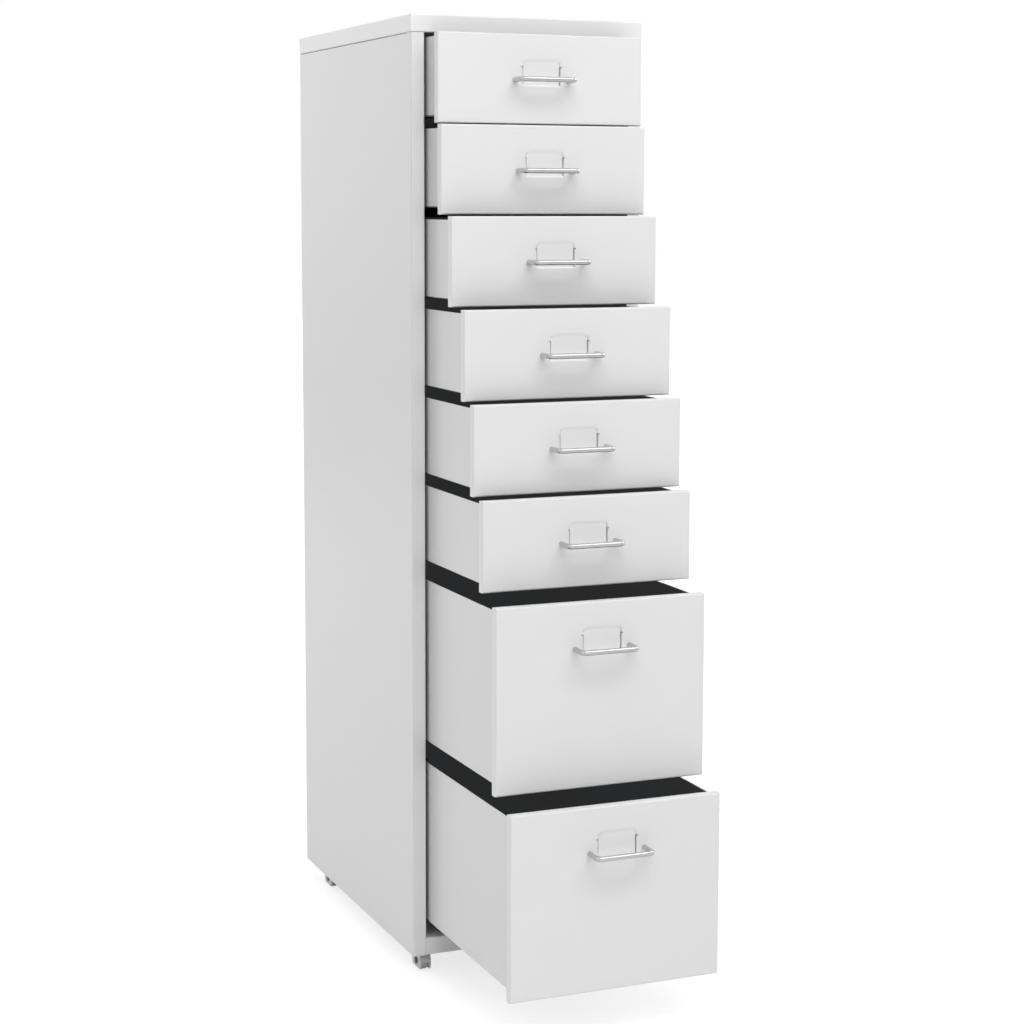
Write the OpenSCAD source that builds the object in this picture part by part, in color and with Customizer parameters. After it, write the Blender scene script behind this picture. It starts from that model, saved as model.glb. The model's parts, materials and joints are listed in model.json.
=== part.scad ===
// Slim steel drawer cabinet on four castors: eight drawers, drawn with each one pulled out
// a little further than the one above. The origin is on the floor, under the middle of the
// whole drawn object. +X runs to the cabinet's right, +Y to its back, +Z up.

/* [Carcass] */
// Outside width of the cabinet
body_w = 280; // [240:1:360]
// Outside depth of the cabinet, front flanges to back flanges
body_d = 410; // [380:1:520]
// Thickness of the carcass sheet
sheet = 0.8; // [0.6:0.1:1.2]
// Outside radius of every fold in the sheet
fold_r = 1.8; // [1.5:0.1:2.4]
// Height of the top cap
cap_h = 20; // [14:1:30]
// Width of the fold under the cap's four lips
cap_return = 12; // [10:1:16]
// Width of each front flange of the side panels
post_w = 16; // [12:0.5:20]
// Depth of the fold behind each front flange
post_back = 8; // [5:0.5:9]
// Width of the side panels' rear flanges
rear_flange = 14; // [12:1:18]
// Height of the base pan, which shows as the front rail
rail_h = 20; // [16:1:30]
// Height of the base pan's side folds
base_fold = 12; // [8:1:14]

/* [Drawer fronts] */
// Thickness of the fronts' sheet
front_sheet = 1; // [0.9:0.1:1.2]
// Height of each of the six small fronts
small_h = 98; // [90:1:120]
// Height of each of the two large fronts
large_h = 202; // [160:1:240]
// Gap between two small fronts
small_gap = 1.5; // [1:0.1:3]
// Gap above each large front
large_gap = 10; // [6:0.5:14]
// Gap between the top front and the cap
top_gap = 1; // [0.8:0.1:3]
// Gap between the lowest front and the rail
rail_gap = 7.5; // [5:0.5:14]
// Gap between a front and the flange beside it
side_gap = 1; // [0.8:0.1:2]
// Depth of the fold around each front
front_d = 10; // [10:0.5:14]
// How far each drawer is drawn open, from the top one down
pulled_out = [37, 47, 78, 116, 143, 169, 206, 247];
// Full travel of a drawer
travel = 320; // [300:1:330]

/* [Label recess] */
// Width of the pressed label recess at the face
label_w = 45; // [40:1:50]
// Height of the recess at the face
label_h = 30.5; // [29:0.5:34]
// Depth of the recess
label_depth = 1.5; // [1:0.1:2.5]
// Width of its sloping upper and lower edges
label_slope = 3.5; // [2:0.1:4]
// Width of its steep left and right edges
label_side = 0.5; // [0.3:0.1:0.8]
// Size of its two cut upper corners
label_corner = 3; // [2:0.5:5]
// Distance from the front's top edge down to the recess
label_drop = 26.5; // [20:0.5:30]
// Width of the card slits
slit_w = 1.2; // [1:0.1:1.6]
// Height of the card slits
slit_h = 20; // [14:1:20]
// Distance from the recess's top edge down to the slits
slit_drop = 8.5; // [6:0.5:9]
// Length of the short turn outward at the top of each slit
slit_turn = 1.8; // [1:0.1:2.5]

/* [Trays] */
// Thickness of the tray sheet
tray_sheet = 0.6; // [0.5:0.1:1]
// How far a tray's side stands in from the front's edge
tray_inset = 2.4; // [2:0.1:4]
// How far the rim lies below the front's top edge
tray_drop = 4; // [3:0.5:8]
// How far a small tray's floor lies above the front's lower edge
small_rise = 8; // [7:0.5:14]
// How far a large tray's floor lies above the front's lower edge
large_rise = 11; // [7:0.5:18]
// Distance from the front plane to the back of the tray
tray_d = 385; // [360:1:390]
// Height of the folded hem along the rim
hem_h = 6; // [4:0.5:10]
// Width of the front tabs that are welded to the front
tab_w = 12; // [8:1:20]

/* [Runners] */
// Thickness of the runners
runner_t = 1; // [0.8:0.1:1.4]
// Width of the ledge that carries the tray
ledge_w = 31; // [29:1:36]
// Width of the lip that keeps the rim below it down
keeper_w = 22; // [21:0.5:26]
// Clearance between tray and ledge
glide = 0.3; // [0.2:0.1:0.6]
// Clearance between rim and keeper
keeper_play = 1; // [0.6:0.1:2]

/* [Handles] */
// Diameter of the handle's rod
rod_d = 6; // [5.5:0.1:8]
// Distance between the handle's two screws
handle_pitch = 64; // [63:1:96]
// Distance from the front to the outside of the rod
handle_reach = 25; // [22:0.5:35]
// Radius of the rod's bends, on its axis
handle_bend = 5.5; // [5:0.5:10]
// Distance from the front's top edge down to the handle's axis
handle_drop = 50; // [40:1:60]

/* [Castors] */
// Clear height of the body above the floor
lift = 26; // [25.5:0.5:30]
// Diameter of the wheels
wheel_d = 22; // [20:0.5:22.5]
// Width of the wheels
wheel_w = 8; // [7:0.5:10]
// Distance from the swivel axis back to the wheel's axis
trail = 9.5; // [8.5:0.5:11]
// Thickness of the housing's cheeks and hood
cheek = 2.1; // [1.8:0.1:2.6]
// Diameter of the wheel's axle
axle_d = 4; // [3:0.1:5]
// Diameter of the stem
stem_d = 8; // [6:0.5:8]
// Distance from the body's side to each stem
castor_side = 20.5; // [20:0.5:30]
// Distance from the body's front and back to each stem
castor_end = 38.5; // [30:0.5:60]

/* [Screws] */
// Diameter of the handle screws' shanks
screw_d = 3.9; // [3:0.1:4]
// Diameter of the screw heads
head_d = 7.6; // [6.5:0.1:8.5]
// Height of the screw heads
head_h = 2.4; // [1.8:0.1:3]

/* [Hidden] */
$fn = 48;
// clearance between parts that turn on each other, on the radius
run_fit = 0.05;
// clearance of a screw in its hole, on the radius
hole_fit = 0.3;
// clearance of a screw in its thread, on the radius
thread_fit = 0.05;
// clearance between a stopped part and its stop
stop_fit = 0.3;
// what a cut runs past a face
past = 1;
// how far the card slits cut into the face beside the recess
slit_out = 0.3;

drawer_count = 8;
small_count = 6;

// Drawers are numbered from 1 at the top to 8 at the bottom.
function is_small(i) = i <= small_count;
function front_h(i) = is_small(i) ? small_h : large_h;
function gap_above(i) = i == 1 ? top_gap : is_small(i) ? small_gap : large_gap;
function rise(i) = is_small(i) ? small_rise : large_rise;
function used_above(i) = i == 0 ? 0 : used_above(i - 1) + gap_above(i) + front_h(i);

// heights are from the body's lower edge
cap_z = rail_h + rail_gap + used_above(drawer_count);
body_h = cap_z + cap_h;
function front_top(i) = cap_z - used_above(i - 1) - gap_above(i);
function front_low(i) = front_top(i) - front_h(i);
function tray_low(i) = front_low(i) + rise(i);
function rim(i) = front_top(i) - tray_drop;

front_w = body_w - 2 * post_w - 2 * side_gap;
tray_w = front_w - 2 * tray_inset;
panel_x = body_w / 2 - sheet;            // inner face of a side panel
runner_y = front_d + stop_fit;           // front end of the runners
runner_l = body_d - 20 - runner_y;
ledge_x = panel_x - ledge_w;             // inner edge of the ledges
back_y = body_d - 2 * sheet;             // inner face of the back panel

// travel stops: a tab under the tray meets a catch on the ledge's inner edge
catch_w = 7;
catch_l = 6;
stop_tab_w = 5;
stop_tab_h = 5;
stop_tab_y = runner_y + catch_l + travel + stop_fit;

// depth of the tray floor's turned-down front edge
floor_tab_h = 5;

// handle and its screws
post_l = handle_reach - rod_d / 2 - handle_bend;
thread_l = 8;
screw_l = 7;

// screws of the carcass
flange_mid = rear_flange / 2;
back_screw_rows = 6;
cap_screw_y = [60, body_d - 60];
cap_screw_in = 9;
top_flange = keeper_w;

// castors, seen from the body's lower edge
wheel_z = wheel_d / 2 - lift;
base_low = rail_h - sheet;               // underside of the base pan's floor
collar_h = 1;
wheel_gap = 0.4;
hood_r = wheel_d / 2 + 0.8 + cheek;
cheek_low = 3;                           // height of the cheeks' lower edges above the floor
fork_w = wheel_w + 2 * wheel_gap + 2 * cheek;
boss_r = 7.2;
turn_gap = 0.2;
boss_top = base_low - collar_h - turn_gap;
boss_low = wheel_z + wheel_d / 4;
stem_head_h = 1.2;
stem_head_z = 4.2;
nut_af = 13;
nut_h = 6.5;

// the part's own frame: the floor under the middle of the whole box
reach_front = max(pulled_out) + handle_reach;
reach_back = body_d + head_h;
frame_y = (reach_front - reach_back) / 2;

// ---- frames -------------------------------------------------------------------------------

// from the body's own frame (front plane, lower edge) to the part's frame
module body_frame() translate([0, frame_y, lift]) children();

// from a drawer's frame (closed, front plane at y = 0) to where it is drawn
module drawer_frame(i) body_frame() translate([0, -pulled_out[i - 1], 0]) children();

// the four castors: sx is -1 left and 1 right, sy is -1 front and 1 back
module castor_frame(sx, sy)
    body_frame()
        translate([sx * (body_w / 2 - castor_side),
                   sy < 0 ? castor_end : body_d - castor_end, 0])
            children();

// ---- sheet-metal shapes -------------------------------------------------------------------

function unit(a, b) = (b - a) / norm(b - a);

// Section of a strip folded at right angles: p runs along the middle of the sheet
module folded(p, t, r) {
    rm = r - t / 2;
    last = len(p) - 1;
    for (i = [0 : last - 1]) {
        u = unit(p[i], p[i + 1]);
        a = i == 0 ? p[i] : p[i] + u * rm;
        b = i == last - 1 ? p[i + 1] : p[i + 1] - u * rm;
        across = [abs(u[1]), abs(u[0])] * t / 2;
        low = [min(a[0], b[0]), min(a[1], b[1])] - across;
        high = [max(a[0], b[0]), max(a[1], b[1])] + across;
        translate(low) square(high - low);
    }
    for (i = [1 : 1 : last - 1]) {
        u = unit(p[i], p[i - 1]);
        v = unit(p[i], p[i + 1]);
        c = p[i] + (u + v) * rm;
        corner = c - (u + v) * r;
        intersection() {
            translate(c) difference() {
                circle(r);
                circle(r - t);
            }
            translate([min(c[0], corner[0]), min(c[1], corner[1])]) square(r);
        }
    }
}

// Rectangle w by h from y = 0 up, with its two corners at y = 0 rounded
module round_front(w, h, r) {
    translate([-w / 2, r]) square([w, h - r]);
    translate([-w / 2 + r, 0]) square([w - 2 * r, h]);
    for (s = [-1, 1])
        translate([s * (w / 2 - r), r]) circle(r);
}

// Block with rounded edges all round its front face at y = 0; z runs from 0 to h
module soft_block(w, d, h, r)
    intersection() {
        linear_extrude(h) round_front(w, d, r);
        translate([-w / 2, 0, h / 2])
            rotate([90, 0, 90])
                linear_extrude(w)
                    rotate(-90) round_front(h, d, r);
    }

// Upright rectangle with all four corners rounded, x from -w/2 to w/2
module round_rect(w, h, r) {
    translate([-w / 2 + r, 0]) square([w - 2 * r, h]);
    translate([-w / 2, r]) square([w, h - 2 * r]);
    for (x = [-w / 2 + r, w / 2 - r], y = [r, h - r])
        translate([x, y]) circle(r);
}

// Extrudes a section drawn in x and z along y
module along_y(from, to)
    translate([0, to, 0]) rotate([90, 0, 0]) linear_extrude(to - from) children();

// Pan-head screw along -y: its head lies on y = 0 and its shank runs to y = -l
module screw(l) {
    difference() {
        rotate([-90, 0, 0]) {
            cylinder(h = head_h * 0.6, d = head_d);
            translate([0, 0, head_h * 0.6])
                cylinder(h = head_h * 0.4, d1 = head_d, d2 = head_d * 0.7);
        }
        for (turn = [0, 90])
            translate([0, head_h, 0]) rotate([0, turn, 0])
                cube([head_d * 0.6, head_h, 0.9], center = true);
    }
    rotate([90, 0, 0]) cylinder(h = l, d = screw_d);
}

// ---- carcass ------------------------------------------------------------------------------

// Left panel: front flange folded twice, rear flange, and a top flange under the cap
module side_panel() {
    h = sheet / 2;
    out = body_w / 2 - h;
    edge = [[-body_w / 2 + post_w - h, post_back], [-body_w / 2 + post_w - h, h],
            [-out, h], [-out, body_d - h], [-body_w / 2 + rear_flange, body_d - h]];
    notch = front_d + 2;
    difference() {
        union() {
            // sides of the panel with both flanges
            linear_extrude(cap_z - fold_r) folded(edge, sheet, fold_r);
            linear_extrude(cap_z)
                intersection() {
                    folded(edge, sheet, fold_r);
                    union() {
                        translate([-body_w / 2, 0]) square([post_w, notch]);
                        translate([-body_w / 2, body_d - notch]) square([rear_flange, notch]);
                    }
                }
            // top flange, which the cap rests on
            along_y(notch, body_d - notch)
                folded([[-out, cap_z - cap_h], [-out, cap_z - h],
                        [-panel_x + top_flange, cap_z - h]], sheet, fold_r);
        }
        // the fold behind the flange stops above the rail
        translate([-panel_x, sheet, -past])
            cube([post_w - sheet + past, post_back + past, rail_h + past + 0.5]);
        for (y = cap_screw_y)
            translate([-panel_x + cap_screw_in, y, cap_z - cap_h])
                cylinder(h = 2 * cap_h, r = screw_d / 2 + hole_fit);
        for (z = back_rows())
            translate([-body_w / 2 + flange_mid, body_d, z])
                rotate([90, 0, 0])
                    cylinder(h = 4, r = screw_d / 2 + hole_fit, center = true);
    }
}

function back_rows() = [for (k = [0 : back_screw_rows - 1])
    rail_h + 20 + k * (cap_z - rail_h - 60) / (back_screw_rows - 1)];

module left_side_panel() color("gainsboro") body_frame() side_panel();
module right_side_panel() color("gainsboro") body_frame() mirror([1, 0, 0]) side_panel();

// places of the two screws that hold the back panel to the base pan
back_base_x = 60;
back_base_z = rail_h / 2;

module back_panel()
    color("gainsboro") body_frame()
        difference() {
            translate([-panel_x + fold_r, back_y, 0.5])
                cube([2 * (panel_x - fold_r), sheet, cap_z - 1]);
            for (s = [-1, 1]) {
                for (z = back_rows())
                    translate([s * (body_w / 2 - flange_mid), back_y + sheet / 2, z])
                        rotate([90, 0, 0])
                            cylinder(h = 4, r = screw_d / 2 + thread_fit, center = true);
                translate([s * back_base_x, back_y + sheet / 2, back_base_z])
                    rotate([90, 0, 0])
                        cylinder(h = 4, r = screw_d / 2 + hole_fit, center = true);
            }
        }

module back_screws()
    color("silver") body_frame()
        for (s = [-1, 1]) {
            for (z = back_rows())
                translate([s * (body_w / 2 - flange_mid), body_d, z]) screw(9);
            translate([s * back_base_x, back_y + sheet, back_base_z]) screw(9);
        }

// Cap: a shallow lid with four lips, each folded in underneath
module top_cap()
    color("whitesmoke") body_frame() translate([0, 0, cap_z])
        difference() {
            intersection() {
                along_y(0, body_d) round_rect(body_w, cap_h, fold_r);
                translate([-body_w / 2, body_d / 2, 0])
                    rotate([90, 0, 90])
                        linear_extrude(body_w) round_rect(body_d, cap_h, fold_r);
            }
            intersection() {
                translate([0, 0, sheet])
                    along_y(sheet, body_d - sheet)
                        round_rect(body_w - 2 * sheet, cap_h - 2 * sheet, fold_r - sheet);
                translate([-body_w / 2, body_d / 2, sheet])
                    rotate([90, 0, 90])
                        linear_extrude(body_w)
                            round_rect(body_d - 2 * sheet, cap_h - 2 * sheet, fold_r - sheet);
            }
            translate([-body_w / 2 + cap_return, cap_return, -past])
                cube([body_w - 2 * cap_return, body_d - 2 * cap_return, 2 * past]);
            for (s = [-1, 1], y = cap_screw_y)
                translate([s * (panel_x - cap_screw_in), y, -past])
                    cylinder(h = 2 * past + sheet, r = screw_d / 2 + thread_fit);
        }

module cap_screws()
    color("silver") body_frame()
        for (s = [-1, 1], y = cap_screw_y)
            translate([s * (panel_x - cap_screw_in), y, cap_z - sheet])
                rotate([-90, 0, 0]) screw(5);

// Base pan: floor with a front rail, a rear fold and two side folds, all turned down
module base_pan()
    color("gainsboro") body_frame()
        difference() {
            union() {
                // floor with front rail and rear fold
                translate([-panel_x, 0, 0])
                    rotate([90, 0, 90])
                        linear_extrude(2 * panel_x)
                            folded([[1.5 * sheet, 0], [1.5 * sheet, rail_h - sheet / 2],
                                    [back_y - sheet / 2, rail_h - sheet / 2],
                                    [back_y - sheet / 2, 0.5]], sheet, fold_r);
                // side folds
                for (s = [0, 1]) mirror([s, 0, 0])
                    along_y(3 * fold_r, back_y - 3 * fold_r)
                        folded([[-panel_x + sheet / 2, rail_h - base_fold],
                                [-panel_x + sheet / 2, rail_h - sheet / 2],
                                [-panel_x + 3 * fold_r, rail_h - sheet / 2]], sheet, fold_r);
            }
            // the floor's sides round off where the side folds are
            for (s = [0, 1]) mirror([s, 0, 0])
                difference() {
                    translate([-panel_x - past, 3 * fold_r, rail_h - fold_r])
                        cube([fold_r + past, back_y - 6 * fold_r, fold_r + past]);
                    along_y(0, body_d)
                        translate([-panel_x + fold_r, rail_h - fold_r]) circle(fold_r);
                }
            for (sx = [-1, 1], y = [castor_end, body_d - castor_end])
                translate([sx * (body_w / 2 - castor_side), y, rail_h - sheet - past])
                    cylinder(h = sheet + 2 * past, r = stem_d / 2 + thread_fit);
            for (s = [-1, 1])
                translate([s * back_base_x, back_y, back_base_z])
                    rotate([90, 0, 0])
                        cylinder(h = 4, r = screw_d / 2 + thread_fit, center = true);
        }

// ---- runners ------------------------------------------------------------------------------

// Left runner under drawer i: its ledge carries tray i and its lower lip keeps the rim of
// tray i + 1 down. The lowest has no lip.
module runner(i) {
    top = tray_low(i) - glide;
    mid = top - runner_t / 2;
    web = -panel_x + runner_t / 2;
    last = i == drawer_count;
    foot = last ? rail_h + 2 : rim(i + 1) + keeper_play + runner_t / 2;
    lip = last ? [] : [[-panel_x + keeper_w, foot]];
    along_y(runner_y, runner_y + runner_l)
        folded(concat(lip, [[web, foot], [web, mid], [-ledge_x, mid]]), runner_t, fold_r);
    translate([-ledge_x - past, runner_y, top - runner_t])
        cube([catch_w + past, catch_l, runner_t]);
}

module left_runners(first, last)
    color("dimgray") body_frame() for (i = [first : last]) runner(i);

module right_runners(first, last)
    color("dimgray") body_frame() mirror([1, 0, 0]) for (i = [first : last]) runner(i);

module left_small_runners() left_runners(1, small_count);
module right_small_runners() right_runners(1, small_count);
module left_large_runners() left_runners(small_count + 1, drawer_count);
module right_large_runners() right_runners(small_count + 1, drawer_count);

// ---- drawers ------------------------------------------------------------------------------

// Outline of the label recess, drawn in by side at left and right and by slope above and
// below: its two upper corners are cut at 45 degrees
function recess_outline(side, slope) =
    let (w = label_w / 2 - side, h = label_h / 2 - slope, c = label_corner)
        [[-w, -h], [w, -h], [w, h - c], [w - c, h], [-w + c, h], [-w, h - c]];

// Space of the recess, from in front of the face to its floor, wider by grow at each side
module recess_space(grow) {
    lead = 0.2;
    share = lead / label_depth;
    near = recess_outline(-share * label_side - grow, -share * label_slope);
    far = recess_outline(label_side - grow, label_slope);
    n = len(near);
    polyhedron(
        points = concat([for (p = near) [p[0], -lead, p[1]]],
                        [for (p = far) [p[0], label_depth, p[1]]]),
        faces = concat([[for (k = [n - 1 : -1 : 0]) k]],
                       [[for (k = [0 : n - 1]) n + k]],
                       [for (k = [0 : n - 1]) [k, (k + 1) % n, n + (k + 1) % n, n + k]]));
}

// Cut for the card slit at the recess's right: it takes the steep side away and turns
// outward at its top
module card_slit() {
    deep = label_depth + front_sheet + 2 * past;
    edge = label_w / 2 + slit_out;
    translate([edge - slit_w, -past, -slit_h]) cube([slit_w, deep, slit_h]);
    translate([edge - slit_w / 2, -past, -slit_w])
        cube([slit_turn, deep, slit_w]);
    translate([edge + slit_turn - slit_w / 2, deep - past, -slit_w / 2])
        rotate([90, 0, 0]) cylinder(h = deep, d = slit_w);
}

module front(i) {
    h = front_h(i);
    label_top = front_top(i) - label_drop;
    label_mid = label_top - label_h / 2;
    color("white") drawer_frame(i)
        difference() {
            union() {
                translate([0, 0, front_low(i)]) difference() {
                    soft_block(front_w, front_d, h, fold_r);
                    translate([0, front_sheet, front_sheet])
                        soft_block(front_w - 2 * front_sheet, front_d, h - 2 * front_sheet,
                                   fold_r - front_sheet);
                }
                // the sheet behind the recess
                translate([0, front_sheet, label_mid]) recess_space(front_sheet);
            }
            translate([0, 0, label_mid]) recess_space(0);
            for (s = [0, 1]) mirror([s, 0, 0]) {
                translate([0, 0, label_top - slit_drop]) card_slit();
                // handle screw hole
                translate([handle_pitch / 2, front_sheet / 2, front_top(i) - handle_drop])
                    rotate([90, 0, 0])
                        cylinder(h = 6, r = screw_d / 2 + hole_fit, center = true);
            }
        }
}

module tray(i) {
    t = tray_sheet;
    low = tray_low(i);
    top = rim(i);
    out = tray_w / 2;
    section = [[-out + t / 2, top - t], [-out + t / 2, low + t / 2],
               [out - t / 2, low + t / 2], [out - t / 2, top - t]];
    color("gainsboro") drawer_frame(i) {
        difference() {
            union() {
                // floor and sides
                along_y(front_sheet, tray_d) folded(section, t, fold_r);
                // back wall, within the rounded outline of floor and sides
                along_y(tray_d - t, tray_d) intersection() {
                    translate([0, low]) round_rect(tray_w, top - low + fold_r, fold_r);
                    translate([-out, low]) square([tray_w, top - low]);
                }
                for (s = [0, 1]) mirror([s, 0, 0]) {
                    // hem: the rim is folded over to the inside
                    translate([-out + t, front_sheet, top - hem_h])
                        cube([t, tray_d - front_sheet, hem_h - t]);
                    along_y(front_sheet, tray_d) translate([-out + t, top - t]) circle(t);
                    // front tab, welded to the back of the front
                    translate([-out, front_sheet, low + fold_r + 2])
                        cube([tab_w, t, top - low - fold_r - 2 - hem_h]);
                    // stop tab, pressed down out of the floor
                    translate([-ledge_x + 1, stop_tab_y, low - stop_tab_h])
                        cube([stop_tab_w, t, stop_tab_h + t]);
                }
            }
            for (s = [0, 1]) mirror([s, 0, 0])
                translate([-ledge_x + 1, stop_tab_y + t, low - past])
                    cube([stop_tab_w, stop_tab_h, t + 2 * past]);
        }
        // front edge of the floor, turned down and welded to the back of the front
        translate([-out + tab_w + 6, front_sheet, low - floor_tab_h])
            cube([tray_w - 2 * tab_w - 12, t, floor_tab_h + t / 2]);
    }
}

// Bow handle: one bent rod whose two ends stand on the front
module handle(i) {
    x = handle_pitch / 2;
    color("silver") drawer_frame(i) translate([0, 0, front_top(i) - handle_drop])
        difference() {
            union() {
                for (s = [0, 1]) mirror([s, 0, 0]) {
                    translate([x, 0, 0])
                        rotate([90, 0, 0]) cylinder(h = post_l, d = rod_d);
                    translate([x - handle_bend, -post_l, 0])
                        rotate([0, 0, -90]) rotate_extrude(angle = 90)
                            translate([handle_bend, 0]) circle(d = rod_d);
                }
                translate([-x + handle_bend, -post_l - handle_bend, 0])
                    rotate([0, 90, 0])
                        cylinder(h = 2 * (x - handle_bend), d = rod_d);
            }
            for (s = [-1, 1])
                translate([s * x, past, 0])
                    rotate([90, 0, 0])
                        cylinder(h = thread_l + past, r = screw_d / 2 + thread_fit);
        }
}

module handle_screws(i)
    color("silver") drawer_frame(i)
        for (s = [-1, 1])
            translate([s * handle_pitch / 2, front_sheet, front_top(i) - handle_drop])
                screw(screw_l);

// ---- castors ------------------------------------------------------------------------------

// Housing: a boss around the stem, and a hood with two cheeks over the wheel
module castor_housing(sx, sy)
    color("darkgray") castor_frame(sx, sy)
        difference() {
            union() {
                intersection() {
                    translate([0, -trail, wheel_z]) rotate([0, 90, 0])
                        cylinder(h = fork_w, r = hood_r, center = true);
                    translate([-fork_w, -trail - hood_r, cheek_low - lift])
                        cube([2 * fork_w, 2 * hood_r, 2 * hood_r]);
                }
                translate([0, 0, boss_low]) cylinder(h = boss_top - boss_low, r = boss_r);
            }
            // room for the wheel
            translate([0, -trail, wheel_z]) rotate([0, 90, 0])
                cylinder(h = wheel_w + 2 * wheel_gap, r = hood_r - cheek, center = true);
            translate([-wheel_w / 2 - wheel_gap, -trail - 2 * hood_r, wheel_z - 2 * hood_r])
                cube([wheel_w + 2 * wheel_gap, 4 * hood_r, 2 * hood_r]);
            // bore for the stem, wider below for the stem's riveted head
            cylinder(h = boss_top + past, r = stem_d / 2 + run_fit);
            translate([0, 0, wheel_z])
                cylinder(h = stem_head_z + stem_head_h - wheel_z, r = stem_d / 2 + 1.6);
            translate([0, -trail, wheel_z]) rotate([0, 90, 0])
                cylinder(h = 2 * fork_w, r = axle_d / 2 + thread_fit, center = true);
        }

// Stems: riveted head, bearing pin, collar under the base pan, thread above it
module castor_stems()
    color("silver")
        for (sx = [-1, 1], sy = [-1, 1])
            castor_frame(sx, sy) {
                translate([0, 0, stem_head_z])
                    cylinder(h = stem_head_h - turn_gap, r = stem_d / 2 + 1.2);
                translate([0, 0, stem_head_z])
                    cylinder(h = rail_h + nut_h + 1.5 - stem_head_z, d = stem_d);
                translate([0, 0, base_low - collar_h]) cylinder(h = collar_h, r = boss_r);
            }

module castor_nuts()
    color("silver")
        for (sx = [-1, 1], sy = [-1, 1])
            castor_frame(sx, sy) translate([0, 0, rail_h])
                difference() {
                    cylinder(h = nut_h, d = nut_af / cos(30), $fn = 6);
                    translate([0, 0, -past])
                        cylinder(h = nut_h + 2 * past, r = stem_d / 2 + thread_fit);
                }

// Wheel: rounded tread, dished sides and a hub
module castor_wheel(sx, sy) {
    r = wheel_d / 2;
    soft = 1.2;
    dish = 1;
    color("lightgray") castor_frame(sx, sy)
        translate([0, -trail, wheel_z]) rotate([0, 90, 0])
            difference() {
                rotate_extrude() {
                    translate([0, -wheel_w / 2]) square([r - soft, wheel_w]);
                    translate([0, -wheel_w / 2 + soft]) square([r, wheel_w - 2 * soft]);
                    for (s = [-1, 1])
                        translate([r - soft, s * (wheel_w / 2 - soft)]) circle(soft);
                }
                for (s = [-1, 1]) translate([0, 0, s * wheel_w / 2])
                    difference() {
                        cylinder(h = 2 * dish, r = r - 3, center = true);
                        cylinder(h = 3 * dish, r = axle_d / 2 + 1.8, center = true);
                    }
                cylinder(h = 2 * wheel_w, r = axle_d / 2 + run_fit, center = true);
            }
}

module castor_axle(sx, sy)
    color("silver") castor_frame(sx, sy)
        translate([0, -trail, wheel_z]) rotate([0, 90, 0]) {
            cylinder(h = fork_w, d = axle_d, center = true);
            for (s = [-1, 1])
                translate([0, 0, s * (fork_w / 2 + 0.4)])
                    cylinder(h = 0.8, d = axle_d + 4, center = true);
        }

// ---- what is drawn ------------------------------------------------------------------------

left_side_panel();
right_side_panel();
back_panel();
top_cap();
base_pan();
left_small_runners();
right_small_runners();
left_large_runners();
right_large_runners();
back_screws();
cap_screws();
castor_stems();
castor_nuts();
for (i = [1 : drawer_count]) {
    front(i);
    tray(i);
    handle(i);
    handle_screws(i);
}
for (sx = [-1, 1], sy = [-1, 1]) {
    corner = str(sy < 0 ? "front" : "rear", sx < 0 ? "_left" : "_right");
    castor_housing(sx, sy);
    castor_wheel(sx, sy);
    castor_axle(sx, sy);
}
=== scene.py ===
"""Looks of a slim drawer cabinet: powder-coated sheet steel, bright rod handles, grey castors."""

import json
import math
from functools import cached_property

import bpy
import numpy as np
from bpy.props import FloatProperty, FloatVectorProperty, IntProperty, PointerProperty
from mathutils import Matrix, Vector


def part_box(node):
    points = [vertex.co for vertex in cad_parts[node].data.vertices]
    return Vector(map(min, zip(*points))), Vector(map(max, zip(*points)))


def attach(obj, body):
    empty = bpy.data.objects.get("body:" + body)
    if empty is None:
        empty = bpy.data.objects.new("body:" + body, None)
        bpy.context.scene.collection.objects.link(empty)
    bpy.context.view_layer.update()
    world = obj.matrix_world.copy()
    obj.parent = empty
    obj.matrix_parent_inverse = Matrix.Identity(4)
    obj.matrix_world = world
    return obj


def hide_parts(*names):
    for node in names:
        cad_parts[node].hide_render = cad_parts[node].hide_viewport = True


bl_info = {
    "name": "Drawer cabinet",
    "version": (1, 0, 0),
    "blender": (4, 5, 0),
    "location": "3D View > Sidebar > Cabinet",
    "description": "Finishes and fine pieces of a sheet-steel drawer cabinet on castors",
    "category": "Object",
}

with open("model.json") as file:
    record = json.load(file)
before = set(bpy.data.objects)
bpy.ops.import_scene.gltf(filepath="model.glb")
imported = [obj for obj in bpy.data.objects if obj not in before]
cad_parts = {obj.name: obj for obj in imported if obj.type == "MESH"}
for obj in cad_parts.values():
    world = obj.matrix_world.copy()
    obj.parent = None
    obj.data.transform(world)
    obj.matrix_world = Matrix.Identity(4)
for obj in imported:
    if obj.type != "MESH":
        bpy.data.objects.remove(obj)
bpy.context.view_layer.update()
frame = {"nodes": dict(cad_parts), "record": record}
NODES = frame["nodes"]
OPENINGS = {o["name"]: o["box_m"] for o in frame["record"]["physics"]["openings"]}
DRAWERS = range(1, 9)
CORNERS = ("front_left", "front_right", "rear_left", "rear_right")

MM = 0.001


# ---- sizes and colours ----------------------------------------------------------------------


def colour_property(name, description, default):
    """A colour that a user can change."""
    return FloatVectorProperty(
        name=name, description=description, default=default, subtype="COLOR", min=0, max=1
    )


def length_property(name, description, default):
    """A length in metres that a user can change."""
    return FloatProperty(
        name=name,
        description=description,
        default=default,
        unit="LENGTH",
        subtype="DISTANCE",
        min=0,
        precision=5,
    )


def share_property(name, description, default):
    """A number from 0 to 1 that a user can change."""
    return FloatProperty(name=name, description=description, default=default, min=0, max=1)


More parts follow.
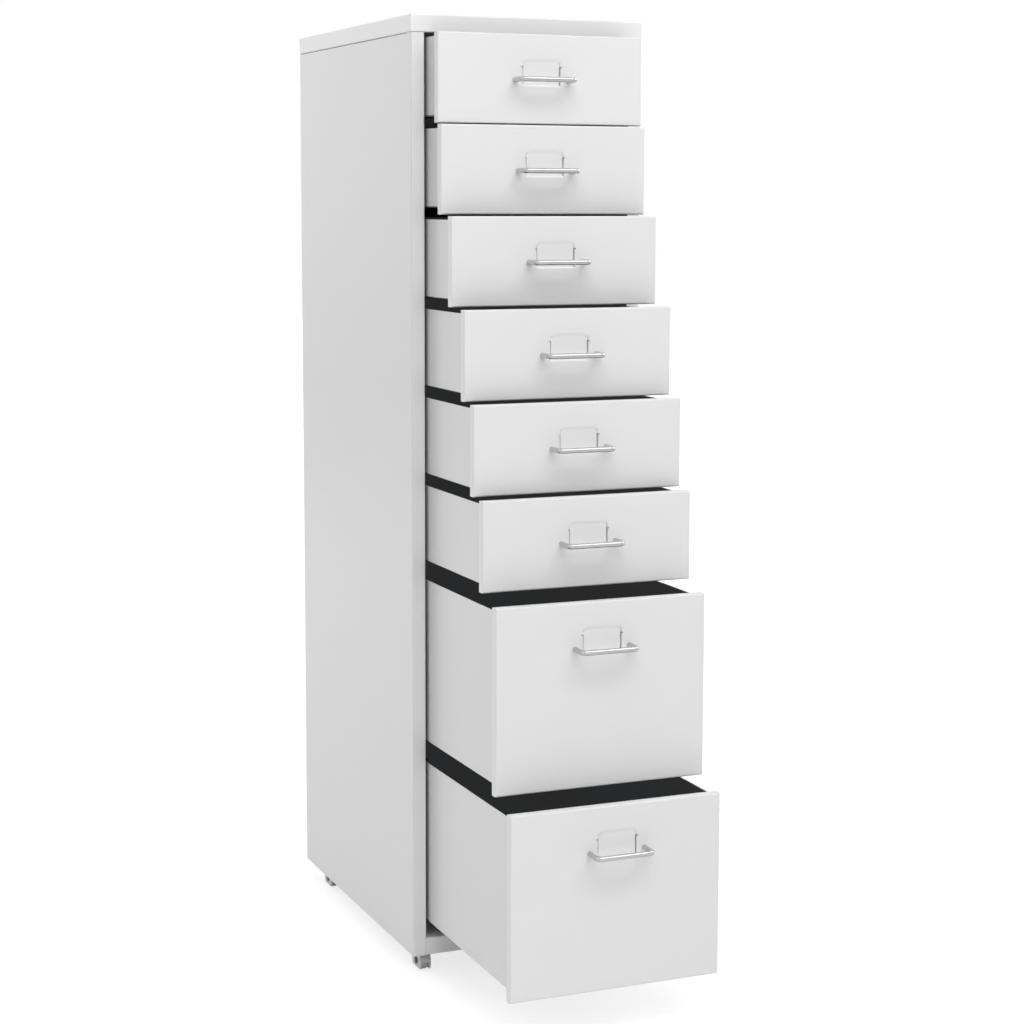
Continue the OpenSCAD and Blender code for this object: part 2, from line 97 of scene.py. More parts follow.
class CabinetPaint(bpy.types.PropertyGroup):
    """Powder coat of the carcass, the drawer fronts and the insides, in lighter and darker copies
    of one paint that carry painted light and shade.
    """

    # painted shade: the carcass is a darker copy of the fronts' paint, for the shade its sides and
    # back fall in
    carcass: colour_property(
        "Carcass", "Coat of the side panels, base and back", (0.72, 0.72, 0.722)
    )
    # painted light: the cap's top and sides are a lighter copy of the paint, lifting the shade
    # they render in
    cap: colour_property("Cap", "Coat of the cap's top and sides", (0.79, 0.79, 0.793))
    # painted light: the cap's front is a still lighter copy, lifting the shade that drawer 1,
    # sticking out below it, puts on it
    cap_front: colour_property("Cap front", "Coat of the cap's front", (0.84, 0.84, 0.843))
    # painted shade: the trays' sides are a darker copy of the paint, for the shade the carcass
    # casts on them
    tray: colour_property("Trays", "Coat of the trays' outer sides", (0.7, 0.7, 0.702))
    # on the carcass's front edges this colour is painted light: lighter than the carcass's copy,
    # lifting the shade the drawers put there
    front: colour_property(
        "Fronts", "Coat of the fronts and of the carcass's front edges", (0.76, 0.76, 0.762)
    )
    lining: colour_property(
        "Lining", "Charcoal coat inside the drawers and on the runners", (0.03, 0.034, 0.038)
    )
    # painted light: the lining glows faintly though it is no lamp, standing in for light that
    # doesn't reach into the drawers
    lining_painted_light: colour_property(
        "Lining glow",
        "Light that the charcoal coat gives off in the drawers, so that it stays even",
        (0.0175, 0.0195, 0.02),
    )
    roughness: share_property("Roughness", "Roughness of the coat", 0.42)
    mottle: length_property("Mottle", "Width of the coat's broad faint patches", 90 * MM)
    grain: length_property("Grain", "Width of the coat's fine waves", 0.9 * MM)
    relief: length_property("Relief", "Height of the fine waves", 0.012 * MM)
    soft_edge: length_property("Soft edge", "Radius that the coat gives an edge", 0.9 * MM)


class CabinetRecess(bpy.types.PropertyGroup):
    """Sloping edges of the pressed label recess, which the press leaves soft."""

    drop: length_property("Drop", "From the front's top down to the recess", 26.5 * MM)
    width: length_property("Width", "Width of the recess", 45 * MM)
    height: length_property("Height", "Height of the recess", 30.5 * MM)
    slope: length_property("Slope", "Height of its sloping edges", 3.5 * MM)
    crisp: length_property("Crisp edge", "Height of the lower edge that stays crisp", 1.7 * MM)
    evenness: share_property("Evenness", "How far the coat evens the rest of the edges out", 0.85)


class CabinetBacking(bpy.types.PropertyGroup):
    """The strip behind each front that closes the card slits and guides the card."""

    drop: length_property("Drop", "From the front's top down to the slits' upper end", 35 * MM)
    height: length_property("Height", "Height of the slits", 20 * MM)
    reach: length_property("Reach", "From the middle of the strip to each slit", 22.9 * MM)
    depth: length_property("Depth", "From the front's face back to the strip", 2.55 * MM)
    sheet: length_property("Sheet", "Thickness of the strip", 0.5 * MM)
    groove: length_property("Groove", "Depth of the groove behind each slit", 0.5 * MM)
    half_groove: length_property("Half groove", "Half the width of each groove", 2.4 * MM)
    margin: length_property("Margin", "Strip above and below the slits", 1.5 * MM)


class CabinetMetal(bpy.types.PropertyGroup):
    """Bare metal: the handles, the screws and the castor stems."""

    handle: colour_property("Handles", "Polished plating of the handles", (0.56, 0.56, 0.55))
    polish: share_property("Polish", "Roughness of the handles", 0.08)
    zinc: colour_property("Zinc", "Plating of screws, stems and nuts", (0.6, 0.6, 0.61))
    satin: share_property("Satin", "Roughness of the zinc plating", 0.34)
    blackened: colour_property("Blackened", "Castor axles", (0.11, 0.11, 0.112))
    dull: share_property("Dull", "Roughness of the castor axles", 0.45)


class CabinetHandle(bpy.types.PropertyGroup):
    """The bent rod of each handle."""

    bend: length_property("Bend", "Radius of the rod's bends, on its axis", 5.5 * MM)
    sides: IntProperty(name="Sides", description="Points round the rod", default=32, min=8)
    steps: IntProperty(name="Steps", description="Rings in each bend", default=20, min=4)


class CabinetCastor(bpy.types.PropertyGroup):
    """Moulded castors."""

    housing: colour_property("Housing", "Plastic of the housings", (0.64, 0.64, 0.645))
    wheel: colour_property("Wheel", "Plastic of the wheels", (0.52, 0.52, 0.525))


class CabinetStage(bpy.types.PropertyGroup):
    """Floor, light and camera."""

    floor: colour_property("Floor", "Colour of the floor", (0.9, 0.9, 0.9))
    floor_radius: length_property("Floor radius", "Radius of the round floor", 14.0)
    glow: share_property("Glow", "Share of plain white in what the camera sees of the floor", 0.6)
    fade_start: length_property("Fade start", "Where the floor starts to turn white", 0.8)
    fade_width: length_property("Fade width", "From there to where it is all white", 1.2)
    ambient: FloatProperty(
        name="Ambient", description="Light from all round", default=0.32, min=0
    )
    camera_place: FloatVectorProperty(
        name="Camera",
        description="Where the camera stands",
        default=(-0.9697, -2.3388, 0.8904),
        subtype="TRANSLATION",
    )
    yaw: FloatProperty(
        name="Yaw",
        description="How far the view turns to the right of the depth axis",
        default=math.radians(22.742),
        unit="ROTATION",
    )
    pitch: FloatProperty(
        name="Pitch",
        description="How far the view looks down",
        default=math.radians(6.828),
        unit="ROTATION",
    )
    roll: FloatProperty(
        name="Roll",
        description="How far the camera leans",
        default=math.radians(0.146),
        unit="ROTATION",
    )
    lens: FloatProperty(
        name="Lens",
        description="Focal length in millimetres for a frame 36 wide",
        default=76.284,
        min=1,
    )
    rise: FloatProperty(
        name="Rise",
        description="Vertical shift of the frame, as a share of its width",
        default=-0.05,
    )


class CabinetSettings(bpy.types.PropertyGroup):
    """All sizes and colours of the cabinet's looks."""

    paint: PointerProperty(type=CabinetPaint)
    recess: PointerProperty(type=CabinetRecess)
    backing: PointerProperty(type=CabinetBacking)
    metal: PointerProperty(type=CabinetMetal)
    handle: PointerProperty(type=CabinetHandle)
    castor: PointerProperty(type=CabinetCastor)
    stage: PointerProperty(type=CabinetStage)


# ---- shader maths ---------------------------------------------------------------------------


class Value:
    """A socket in a node tree: Python's operators on it add the Math nodes."""

    def __init__(self, tree, socket):
        self.tree = tree
        self.socket = socket

    def math(self, operation, *terms):
        """A Math node on these terms."""
        node = self.tree.nodes.new("ShaderNodeMath")
        node.operation = operation
        for place, term in zip(node.inputs, terms):
            plug(self.tree, place, term)
        return Value(self.tree, node.outputs[0])

    def __add__(self, other):
        return self.math("ADD", self, other)

    def __sub__(self, other):
        return self.math("SUBTRACT", self, other)

    def __rsub__(self, other):
        return self.math("SUBTRACT", other, self)

    def __mul__(self, other):
        return self.math("MULTIPLY", self, other)

    def __truediv__(self, other):
        return self.math("DIVIDE", self, other)

    def __rtruediv__(self, other):
        return self.math("DIVIDE", other, self)

    def __abs__(self):
        return self.math("ABSOLUTE", self)

    def __lt__(self, other):
        return self.math("LESS_THAN", self, other)

    def __gt__(self, other):
        return self.math("GREATER_THAN", self, other)

    __radd__ = __add__
    __rmul__ = __mul__

    def larger(self, other):
        """The larger of two values."""
        return self.math("MAXIMUM", self, other)

    def root(self):
        """The square root."""
        return self.math("SQRT", self)

    def clipped(self):
        """The value held between 0 and 1."""
        return self.math("MINIMUM", self.larger(0), 1)


def plug(tree, place, term):
    """Links or sets one input socket."""
    if isinstance(term, Value):
        tree.links.new(term.socket, place)
    else:
        place.default_value = term


class Nodes:
    """An emptied node tree that is filled by calls."""

    def __init__(self, tree):
        self.tree = tree
        tree.nodes.clear()

    def node(self, kind, settings=None, sockets=None, output=0):
        """Adds a node of any kind: its settings first, then its sockets by name or number."""
        made = self.tree.nodes.new("ShaderNode" + kind)
        for name, value in (settings or {}).items():
            setattr(made, name, value)
        for place, term in (sockets or {}).items():
            plug(self.tree, made.inputs[place], term)
        return Value(self.tree, made.outputs[output]) if made.outputs else None

    def parts(self, vector):
        """The three numbers of a vector."""
        split = self.node("SeparateXYZ", sockets={0: vector}).socket.node
        return [Value(self.tree, socket) for socket in split.outputs]

    def blend(self, share, first, second):
        """Mixes two colours by a number from 0 to 1."""
        # the Mix node's socket names repeat, so they go by number
        sockets = {0: share, 6: first, 7: second}
        return self.node("Mix", {"data_type": "RGBA"}, sockets, output=2)

    def turn(self, share, first, second):
        """Mixes two directions by a number from 0 to 1."""
        sockets = {0: share, 4: first, 5: second}
        return self.node("Mix", {"data_type": "VECTOR"}, sockets, output=1)

    def merge(self, share, first, second):
        """Mixes two shaders by a number from 0 to 1."""
        return self.node("MixShader", sockets={0: share, 1: first, 2: second})


class Finish(Nodes):
    """A material that is built up round one Principled shader."""

    def __init__(self, name):
        self.material = bpy.data.materials.new(name)
        self.material.use_nodes = True
        super().__init__(self.material.node_tree)
        self.shader = self.node("BsdfPrincipled")

    @cached_property
    def vector(self):
        """Object coordinates."""
        return self.node("TexCoord", output="Object")

    @cached_property
    def place(self):
        """The three numbers of the Object coordinates."""
        return self.parts(self.vector)

    def set(self, **sockets):
        """Sets or links the shader's sockets, named with underscores."""
        for name, term in sockets.items():
            place = self.shader.socket.node.inputs[name.replace("_", " ").title()]
            plug(self.tree, place, term)

    def done(self):
        """The material, with its shader on the output."""
        self.node("OutputMaterial", sockets={"Surface": self.shader})
        return self.material

    def noise(self, width, detail=2.0):
        """Soft noise from 0 to 1 whose lumps are about width metres across."""
        sockets = {"Vector": self.vector, "Scale": 1 / width, "Detail": detail}
        return self.node("TexNoise", sockets=sockets, output="Fac")

    def backward(self):
        """How far the surface faces the back, from -1 to 1."""
        return self.parts(self.node("TexCoord", output="Normal"))[1]

    def softened(self, radius):
        """The normal with its edges rounded."""
        return self.node("Bevel", {"samples": 4}, {"Radius": radius})

    def relief(self, height, distance, under=None):
        """Bump from a height from 0 to 1, distance metres deep, over the normal under it."""
        sockets = {"Height": height, "Distance": distance, "Strength": 1.0}
        if under is not None:
            sockets["Normal"] = under
        return self.node("Bump", sockets=sockets)

    def swing(self, share, colour, low, high):
        """A colour that goes from low to high times itself with a share."""
        return self.blend(share, solid(colour, low), solid(colour, high))


def solid(colour, share=1.0):
    """Four numbers of a colour, made darker or lighter by a share."""
    return [min(1.0, c * share) for c in colour] + [1.0]


def inside(place, box):
    """1 inside a box and 0 outside it. An axis whose lower bound is None is open."""
    share = None
    for value, low, high in zip(place, *box):
        if low is None:
            continue
        within = abs(value - (low + high) / 2) < (high - low) / 2
        share = within if share is None else share * within
    return share


# ---- finishes -------------------------------------------------------------------------------

FACES_BACK = 0.3  # from here on a surface counts as turned to the back


def coat(finish, paint, colour, lining_share=None, evened=None, front_lightening=None):
    """Powder coat: a broad faint mottle, fine waves, and edges softened by the coat.

    Where lining_share is 1 the coat is the charcoal one. The front lightening, if given, is a
    share and a lighter colour
    that the coat turns to by it: painted light that lifts faces lying in shade. By the share
    evened, the surface is shaded as if it faced the front.
    """
    patches, uneven, lining_rougher = 0.75, 0.08, 0.06
    speck_width = 2.5 * paint.grain
    mottle = finish.noise(paint.mottle, detail=3.0)
    speck = finish.noise(speck_width, detail=1.0)
    tone = (mottle * patches + speck * (1 - patches)).clipped()
    base = finish.swing(tone, colour, low=0.985, high=1.015)
    rough = tone * uneven + (paint.roughness - uneven / 2)
    # painted light: by this share the coat turns to the lighter colour
    if front_lightening is not None:
        share, front_colour = front_lightening
        base = finish.blend(share, base, solid(front_colour))
    if lining_share is not None:
        dark = finish.swing(tone, paint.lining, low=0.85, high=1.2)
        base = finish.blend(lining_share, base, dark)
        rough = rough + lining_share * lining_rougher
    waves = finish.noise(paint.grain, detail=1.5)
    soft = finish.softened(paint.soft_edge)
    if evened is not None:
        soft = finish.turn(evened, soft, (0, -1, 0))
    normal = finish.relief(waves, paint.relief, under=soft)
    finish.set(base_color=base, roughness=rough, normal=normal)
    return finish.done()


def paint_lining_light(finish, paint, share):
    """Painted light: a faint glow of the lining that no lamp gives, lifting its shade so that it
    stays even down into the drawers.
    """
    glow = finish.blend(share, solid((0, 0, 0)), solid(paint.lining_painted_light))
    finish.set(emission_color=glow, emission_strength=1.0)


def painted(name, paint, colour, lined=None, with_painted_light=False, front_edge=None, front=None):
    """A coat in one colour, with the charcoal lining inside the box lined.

    Where the lining is set to glow it gets that painted light, as a drawer's does. Between 2 mm
    and 1 mm behind front_edge the coat turns to the colour front, a lighter copy of the paint that
    carries painted light.
    """
    turned, turning = 2 * MM, 1 * MM
    finish = Finish(name)
    share = None if lined is None else inside(finish.place, lined)
    # painted light: the lining's glow stands in for the light it lacks in the drawers
    if with_painted_light:
        paint_lining_light(finish, paint, share)
    front_lightening = None
    # painted light: just behind front_edge the coat turns to the lighter colour front, lifting its
    # shade
    if front is not None:
        front_lightening = ((front_edge + turned - finish.place[1]) / turning).clipped(), front
    return coat(finish, paint, colour, share, front_lightening=front_lightening)


def painted_front(name, paint, recess, face, top, room):
    """The coat of one front, charcoal on its back.

    face is the front plane, top the front's top, room the box of the tray behind it. What faces
    the back is charcoal, and so are the folds' inner sides, but not the edges of the card slits.
    """
    finish = Finish(name)
    past_slits, past_slope = 3 * MM, 0.5 * MM
    back = finish.backward()
    deep = (finish.place[1] > face + past_slits) * (back > -FACES_BACK)
    share = inside(finish.place, room) * deep.larger(back > FACES_BACK)
    middle = (room[0][0] + room[1][0]) / 2
    left, right = middle - recess.width / 2, middle + recess.width / 2
    high = top - recess.drop
    low = high - recess.height
    upper = (left, None, high - recess.slope), (right, None, high + past_slope)
    lower = (left, None, low + recess.crisp), (right, None, low + recess.slope)
    evened = (inside(finish.place, upper) + inside(finish.place, lower)) * recess.evenness
    # painted light: the charcoal back and the folds' inner sides glow faintly instead of lying in
    # shade
    paint_lining_light(finish, paint, share)
    return coat(finish, paint, paint.front, share, evened)


def painted_strip(name, paint):
    """The fronts' coat, charcoal on what faces the back."""
    finish = Finish(name)
    return coat(finish, paint, paint.front, finish.backward() > FACES_BACK)


def metal(name, colour, roughness, grain):
    """Plated metal with faint unevenness, grain metres wide."""
    uneven, height = 0.1, 0.006 * MM
    finish = Finish(name)
    cloud = finish.noise(grain, detail=3.0)
    finish.set(
        metallic=1.0,
        base_color=finish.swing(cloud, colour, low=0.94, high=1.04),
        roughness=cloud * uneven + (roughness - uneven / 2),
        normal=finish.relief(finish.noise(grain / 3), height),
    )
    return finish.done()


def moulded(name, colour):
    """Moulded plastic: faint clouds, a fine even spark texture and softened edges."""
    cloud_width, soft_edge = 12 * MM, 0.4 * MM
    spark_width, spark_height = 0.5 * MM, 0.02 * MM
    smoothest, uneven = 0.38, 0.12
    finish = Finish(name)
    cloud = finish.noise(cloud_width, detail=3.0)
    spark = finish.noise(spark_width, detail=1.0)
    finish.set(
        base_color=finish.swing(cloud, colour, low=0.93, high=1.06),
        roughness=cloud * uneven + smoothest,
        normal=finish.relief(spark, spark_height, under=finish.softened(soft_edge)),
    )
    return finish.done()


def dress(material, *names):
    """Gives CAD nodes a material."""
    for name in names:
        for slot in NODES[name].material_slots:
            slot.material = material


# ---- surfaces -------------------------------------------------------------------------------


def tube_piece(name, points, drawer, material):
    """A closed mesh from a grid of points, rings by points round a ring by three.

    Each ring is joined to the next by quads, and one face closes the first and the last ring.
    The piece rides on a drawer.
    """
    crease = math.radians(50)
    rings, sides = points.shape[:2]
    index = np.arange(rings * sides).reshape(rings, sides)
    beside = np.roll(index, -1, axis=1)
    quads = np.stack([index[:-1], beside[:-1], beside[1:], index[1:]], axis=-1)
    ends = [index[0, ::-1].tolist(), index[-1].tolist()]
    mesh = bpy.data.meshes.new(name)
    mesh.from_pydata(points.reshape(-1, 3).tolist(), [], quads.reshape(-1, 4).tolist() + ends)
    mesh.validate()
    mesh.shade_smooth()
    mesh.set_sharp_from_angle(angle=crease)
    mesh.materials.append(material)
    piece = bpy.data.objects.new(name, mesh)
    bpy.context.scene.collection.objects.link(piece)
    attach(piece, f"drawer_{drawer}")
    return piece


def bow_path(half, reach, bend, steps):
    """A bow in the plane: out along -y, round a quarter circle, across, and back the same way.

    half is half the distance between its roots, reach the depth of its axis. Gives the points
    and the unit tangents at them.
    """
    post_rings, bar_rings = 5, 10
    turn = np.linspace(0, np.pi / 2, steps)
    post = np.linspace(0, reach - bend, post_rings, endpoint=False)
    bar = np.linspace(-half + bend, half - bend, bar_rings + 2)[1:-1]
    first = np.stack([-half + bend * (1 - np.cos(turn)), -(reach - bend) - bend * np.sin(turn)], 1)
    last = np.stack([-first[::-1, 0], first[::-1, 1]], 1)
    points = np.concatenate(
        [
            np.stack([np.full(post_rings, -half), -post], 1),
            first,
            np.stack([bar, np.full(bar_rings, -reach)], 1),
            last,
            np.stack([np.full(post_rings, half), -post[::-1]], 1),
        ]
    )
    tangents = np.concatenate(
        [
            np.tile([0.0, -1.0], (post_rings, 1)),
            np.stack([np.sin(turn), -np.cos(turn)], 1),
            np.tile([1.0, 0.0], (bar_rings, 1)),
            np.stack([np.sin(turn[::-1]), np.cos(turn[::-1])], 1),
            np.tile([0.0, 1.0], (post_rings, 1)),
        ]
    )
    return points, tangents


def rod(points, tangents, radius, sides, level):
    """A round rod along a path in a level plane: centre + radius * (across cos a + up sin a)."""
    angle = np.linspace(0, 2 * np.pi, sides, endpoint=False)
    across = np.stack([-tangents[:, 1], tangents[:, 0], np.zeros(len(tangents))], 1)
    up = np.array([0.0, 0.0, 1.0])
    centre = np.column_stack([points, np.full(len(points), level)])
    ring = across[:, None] * np.cos(angle)[None, :, None] + up * np.sin(angle)[None, :, None]
    return centre[:, None] + radius * ring


def grooved_strip(reach, half_groove, sheet, groove, bottom, top):
    """A level strip with an upright groove round x = -reach and x = reach.

    Its front lies at y = groove * cos(pi / 2 * d / half_groove) squared, with d the distance to
    the nearer groove's middle where that is under half_groove, and at y = 0 elsewhere. Its back
    is sheet behind.
    """
    steps = 121
    across = np.linspace(-reach - half_groove, reach + half_groove, steps)
    away = np.minimum(np.abs(np.abs(across) - reach) / half_groove, 1)
    front = groove * np.cos(np.pi / 2 * away) ** 2
    outline = np.concatenate(
        [np.stack([across, front], 1), np.stack([across, front + sheet], 1)[::-1]]
    )
    return np.stack([np.column_stack([outline, np.full(len(outline), z)]) for z in (bottom, top)])


# ---- operators ------------------------------------------------------------------------------


class CABINET_OT_carcass(bpy.types.Operator):
    """Coat the side panels, cap, base and back, charcoal inside, in copies of the paint that carry
    painted light and shade
    """

    bl_idname = "cabinet.carcass"
    bl_label = "Carcass"

    def execute(self, context):
        paint = context.scene.cabinet.paint
        low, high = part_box("left_side_panel")[0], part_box("right_side_panel")[1]
        cap_low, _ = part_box("top_cap")
        base_low, base_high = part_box("base_pan")
        back_low, back_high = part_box("back_panel")
        # how deep into a sheet the outer coat counts, and half the back's thickness
        skin, half_back = 0.5 * MM, 0.4 * MM
        hollow = (
            (low.x + skin, low.y + skin, base_high.z - skin),
            (high.x - skin, high.y - skin, high.z + skin),
        )
        inner = (
            (back_low.x, back_low.y - skin, back_low.z),
            (back_high.x, back_low.y + half_back, back_high.z),
        )
        # painted light: the cap takes the lighter cap copy of the paint, and its front a still
        # lighter one
        cap = painted("cap_coat", paint, paint.cap, front_edge=cap_low.y, front=paint.cap_front)
        dress(cap, "top_cap")
        # painted shade and light: the panels take the darker carcass copy, their front flanges the
        # fronts' lighter colour, lifting the shade of the pulled-out drawers
        panel = painted(
            "panel_coat", paint, paint.carcass, hollow, front_edge=low.y, front=paint.front
        )
        dress(panel, "left_side_panel", "right_side_panel")
        # painted shade: the back takes the darker carcass copy of the paint
        dress(painted("back_coat", paint, paint.carcass, inner), "back_panel")
        # painted shade and light: the base takes the darker carcass copy, its front rail the
        # fronts' lighter colour
        base = painted("base_coat", paint, paint.carcass, front_edge=base_low.y, front=paint.front)
        dress(base, "base_pan")
        return {"FINISHED"}


class CABINET_OT_runners(bpy.types.Operator):
    """Coat the runners charcoal"""

    bl_idname = "cabinet.runners"
    bl_label = "Runners"

    def execute(self, context):
        paint = context.scene.cabinet.paint
        dark = coat(Finish("runner_coat"), paint, paint.lining, lining_share=1.0)
        dress(dark, *[n for n in NODES if n.endswith("_runners")])
        return {"FINISHED"}


class CABINET_OT_drawers(bpy.types.Operator):
    """Coat the fronts and trays, charcoal inside"""

    bl_idname = "cabinet.drawers"
    bl_label = "Drawers"

    def execute(self, context):
        paint = context.scene.cabinet.paint
        recess = context.scene.cabinet.recess
        # how far the lining goes on past the opening's sides, and past its floor and back
        beside, beyond = 1.3 * MM, 0.7 * MM
        # how far below the opening's top it ends, in the tray and on the front
        below_rim, below_fold = 0.9 * MM, 0.4 * MM
        behind_face = 0.5 * MM
        for i in DRAWERS:
            low, high = OPENINGS[f"drawer_{i}_inside"]
            front_low, front_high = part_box(f"front_{i}")
            near = low[0] - beside, front_low.y + behind_face, low[2] - beyond
            far = high[0] + beside, high[1] + beyond
            room = near, (*far, high[2] - below_rim)
            # painted shade and light: the trays take the darker tray copy of the paint, and their
            # charcoal lining glows faintly instead of lying in shade
            tray = painted(f"tray_coat_{i}", paint, paint.tray, lined=room, with_painted_light=True)
            dress(tray, f"tray_{i}")
            room = near, (*far, high[2] - below_fold)
            coated = painted_front(
                f"front_coat_{i}", paint, recess, front_low.y, front_high.z, room
            )
            dress(coated, f"front_{i}")
        return {"FINISHED"}


class CABINET_OT_backings(bpy.types.Operator):
    """Make the strips that close the card slits from behind"""

    bl_idname = "cabinet.backings"
    bl_label = "Card backings"

    def execute(self, context):
        backing = context.scene.cabinet.backing
        finish = painted_strip("backing_coat", context.scene.cabinet.paint)
        for i in DRAWERS:
            low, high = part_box(f"front_{i}")
            top = high.z - backing.drop + backing.margin
            bottom = top - backing.height - 2 * backing.margin
            surface = grooved_strip(
                backing.reach, backing.half_groove, backing.sheet, backing.groove, bottom, top
            )
            surface += [(low.x + high.x) / 2, low.y + backing.depth, 0]
            tube_piece(f"card_backing_{i}", surface, i, finish)
        return {"FINISHED"}


class CABINET_OT_handles(bpy.types.Operator):
    """Make the bent rod handles"""

    bl_idname = "cabinet.handles"
    bl_label = "Handles"

    def execute(self, context):
        shape, finish = context.scene.cabinet.handle, context.scene.cabinet.metal
        bright = metal("handle_plating", finish.handle, finish.polish, 6 * MM)
        for i in DRAWERS:
            low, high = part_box(f"handle_{i}")
            radius = (high.z - low.z) / 2
            half = (high.x - low.x) / 2 - radius
            reach = high.y - low.y - radius
            points, tangents = bow_path(half, reach, shape.bend, shape.steps)
            points += [(low.x + high.x) / 2, high.y]
            surface = rod(points, tangents, radius, shape.sides, (low.z + high.z) / 2)
            piece = tube_piece(f"handle_rod_{i}", surface, i, bright)
            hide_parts(f"handle_{i}")
        return {"FINISHED"}


class CABINET_OT_fasteners(bpy.types.Operator):
    """Plate the screws, stems, nuts and axles"""

    bl_idname = "cabinet.fasteners"
    bl_label = "Fasteners"

    def execute(self, context):
        finish = context.scene.cabinet.metal
        plated = metal("zinc_plating", finish.zinc, finish.satin, 3 * MM)
        dress(plated, "back_screws", "cap_screws", "castor_stems", "castor_nuts")
        dress(plated, *[f"handle_screws_{i}" for i in DRAWERS])
        dark = metal("blackened_steel", finish.blackened, finish.dull, 3 * MM)
        dress(dark, *[f"castor_axle_{corner}" for corner in CORNERS])
        return {"FINISHED"}


class CABINET_OT_castors(bpy.types.Operator):
    """Give the castor housings and wheels their plastic"""

    bl_idname = "cabinet.castors"
    bl_label = "Castors"

    def execute(self, context):
        castor = context.scene.cabinet.castor
        for part, colour in (("housing", castor.housing), ("wheel", castor.wheel)):
            plastic = moulded(f"{part}_plastic", colour)
            dress(plastic, *[f"castor_{part}_{corner}" for corner in CORNERS])
        return {"FINISHED"}


def lamp(name, place, aim, size, watts, mirrored):
    """A soft lamp, size wide and high, that looks at aim; mirrored says if metal shows it."""
    data = bpy.data.lights.new(name, "AREA")
    data.shape = "RECTANGLE"
    data.size, data.size_y = size
    data.energy = watts
    item = bpy.data.objects.new(name, data)
    item.location = place
    item.rotation_mode = "QUATERNION"
    item.rotation_quaternion = (Vector(aim) - Vector(place)).to_track_quat("-Z", "Y")
    item.visible_glossy = mirrored
    bpy.context.scene.collection.objects.link(item)


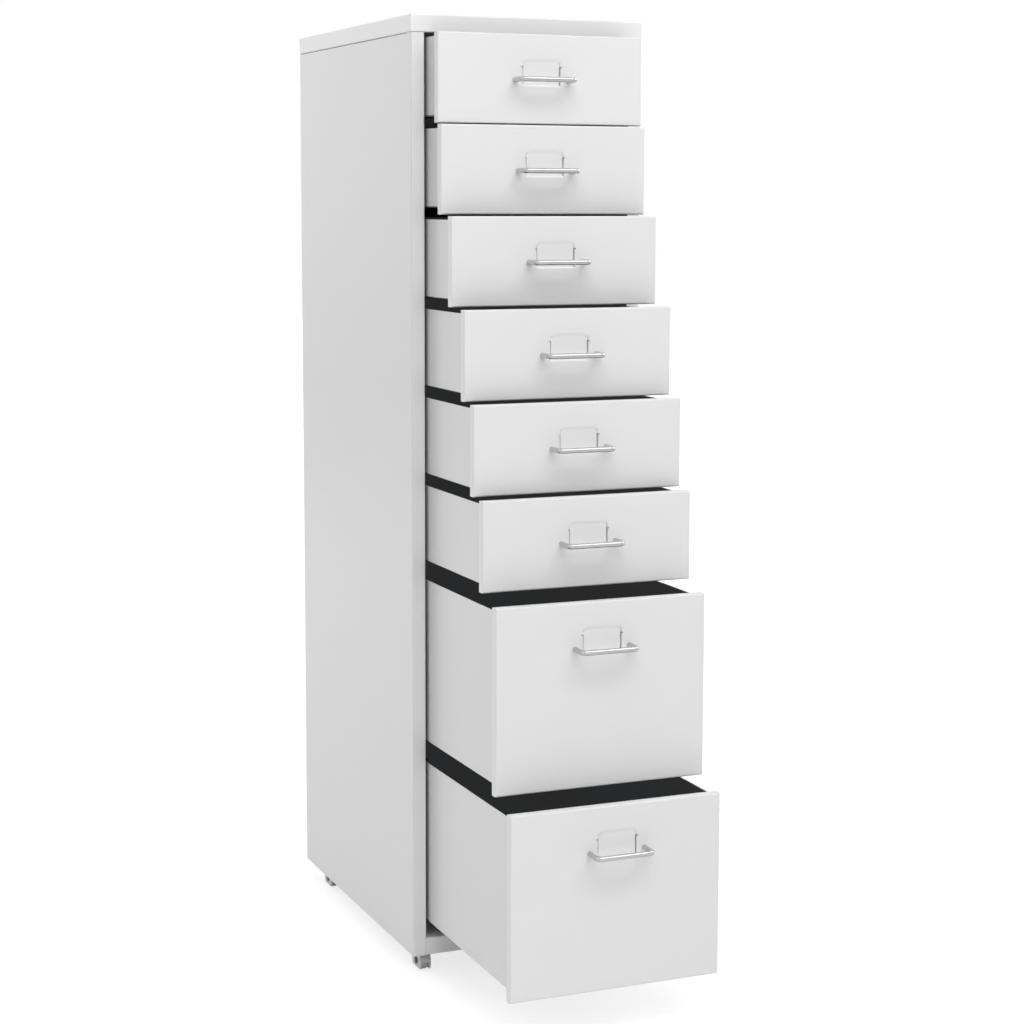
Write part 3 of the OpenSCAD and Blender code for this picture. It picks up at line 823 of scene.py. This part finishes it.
class CABINET_OT_stage(bpy.types.Operator):
    """Set the floor, the light and the camera"""

    bl_idname = "cabinet.stage"
    bl_label = "Stage"

    def execute(self, context):
        stage = context.scene.cabinet.stage
        self.floor(stage)
        self.world(stage)
        for name, place, aim, size, watts, mirrored in (
            ("front_lamp", (-0.4, -2.5, 3.0), (-0.1, -0.1, 0.5), (4.2, 2.8), 64, False),
            ("strip_lamp", (0.5, -2.1, 3.2), (0.5, -0.4, 0.6), (3.8, 0.9), 34, True),
            ("left_lamp", (-1.9, 3.5, 1.9), (0, 0, 0.5), (2.2, 2.2), 92, False),
            ("right_lamp", (3.2, 0.4, 2.0), (0, 0, 0.5), (2.2, 2.2), 34, True),
        ):
            lamp(name, place, aim, size, watts, mirrored)
        self.camera(stage)
        context.scene.view_settings.view_transform = "Standard"
        return {"FINISHED"}

    def floor(self, stage):
        """A round floor, white to the camera where nothing shades it."""
        sides, dull, white = 64, 0.9, 1.25
        angle = np.linspace(0, 2 * np.pi, sides, endpoint=False)
        ring = stage.floor_radius * np.stack([np.cos(angle), np.sin(angle), 0 * angle], 1)
        mesh = bpy.data.meshes.new("floor")
        mesh.from_pydata(ring.tolist(), [], [list(range(sides))])
        finish = Finish("floor_paint")
        finish.set(base_color=solid(stage.floor), roughness=dull)
        across, along, _ = finish.place
        away = (across * across + along * along).root()
        far = ((away - stage.fade_start) / stage.fade_width).clipped()
        share = far * (1 - stage.glow) + stage.glow
        seen = finish.node("LightPath", output="Is Camera Ray")
        glow = finish.node("Emission", sockets={"Color": (1, 1, 1, 1), "Strength": white})
        surface = finish.merge(seen * share, finish.shader, glow)
        finish.node("OutputMaterial", sockets={"Surface": surface})
        mesh.materials.append(finish.material)
        floor = bpy.data.objects.new("floor", mesh)
        bpy.context.scene.collection.objects.link(floor)

    def world(self, stage):
        """Even light from all round, and white where the camera, metal or glass looks at it."""
        world = bpy.data.worlds.new("studio")
        world.use_nodes = True
        bpy.context.scene.world = world
        nodes = Nodes(world.node_tree)
        plain, white = (
            nodes.node("Background", sockets={"Color": (1, 1, 1, 1), "Strength": strength})
            for strength in (stage.ambient, 1.0)
        )
        seen = nodes.node("LightPath", output="Is Camera Ray")
        for kind in ("Is Glossy Ray", "Is Transmission Ray"):
            seen = seen + nodes.node("LightPath", output=kind)
        surface = nodes.merge(seen.clipped(), plain, white)
        nodes.node("OutputWorld", sockets={"Surface": surface})

    def camera(self, stage):
        """The camera: its axes from yaw, pitch and roll."""
        frame_width, nearest = 36, 0.05
        yaw, pitch, roll = stage.yaw, -stage.pitch, stage.roll
        ahead = Vector(
            (math.sin(yaw) * math.cos(pitch), math.cos(yaw) * math.cos(pitch), math.sin(pitch))
        )
        level = Vector((math.cos(yaw), -math.sin(yaw), 0))
        up = level.cross(ahead)
        right = math.cos(roll) * level + math.sin(roll) * up
        top = math.cos(roll) * up - math.sin(roll) * level
        data = bpy.data.cameras.new("camera")
        data.lens = stage.lens
        data.sensor_width = frame_width
        data.shift_y = stage.rise
        data.clip_start = nearest
        item = bpy.data.objects.new("camera", data)
        axes = Matrix((right, top, -ahead)).transposed()
        item.matrix_world = Matrix.Translation(stage.camera_place) @ axes.to_4x4()
        bpy.context.scene.collection.objects.link(item)
        bpy.context.scene.camera = item


class CABINET_PT_sidebar(bpy.types.Panel):
    """The cabinet's pieces in the sidebar"""

    bl_idname = "CABINET_PT_sidebar"
    bl_label = "Drawer cabinet"
    bl_space_type = "VIEW_3D"
    bl_region_type = "UI"
    bl_category = "Cabinet"

    def draw(self, context):
        for operator in OPERATORS:
            self.layout.operator(operator.bl_idname)
        for group_name in CabinetSettings.__annotations__:
            group = getattr(context.scene.cabinet, group_name)
            box = self.layout.box()
            for name in group.__annotations__:
                box.prop(group, name)


OPERATORS = (
    CABINET_OT_carcass,
    CABINET_OT_runners,
    CABINET_OT_drawers,
    CABINET_OT_backings,
    CABINET_OT_handles,
    CABINET_OT_fasteners,
    CABINET_OT_castors,
    CABINET_OT_stage,
)
CLASSES = (
    CabinetPaint,
    CabinetRecess,
    CabinetBacking,
    CabinetMetal,
    CabinetHandle,
    CabinetCastor,
    CabinetStage,
    CabinetSettings,
    *OPERATORS,
    CABINET_PT_sidebar,
)


def register():
    """Adds the classes and the scene's settings."""
    for item in CLASSES:
        bpy.utils.register_class(item)
    bpy.types.Scene.cabinet = PointerProperty(type=CabinetSettings)


def unregister():
    """Takes the settings and the classes away."""
    del bpy.types.Scene.cabinet
    for item in reversed(CLASSES):
        bpy.utils.unregister_class(item)


def main():
    """Makes every piece and the stage."""
    register()
    bpy.ops.cabinet.carcass()
    bpy.ops.cabinet.runners()
    bpy.ops.cabinet.drawers()
    bpy.ops.cabinet.backings()
    bpy.ops.cabinet.handles()
    bpy.ops.cabinet.fasteners()
    bpy.ops.cabinet.castors()
    bpy.ops.cabinet.stage()


if __name__ == "__main__":
    main()
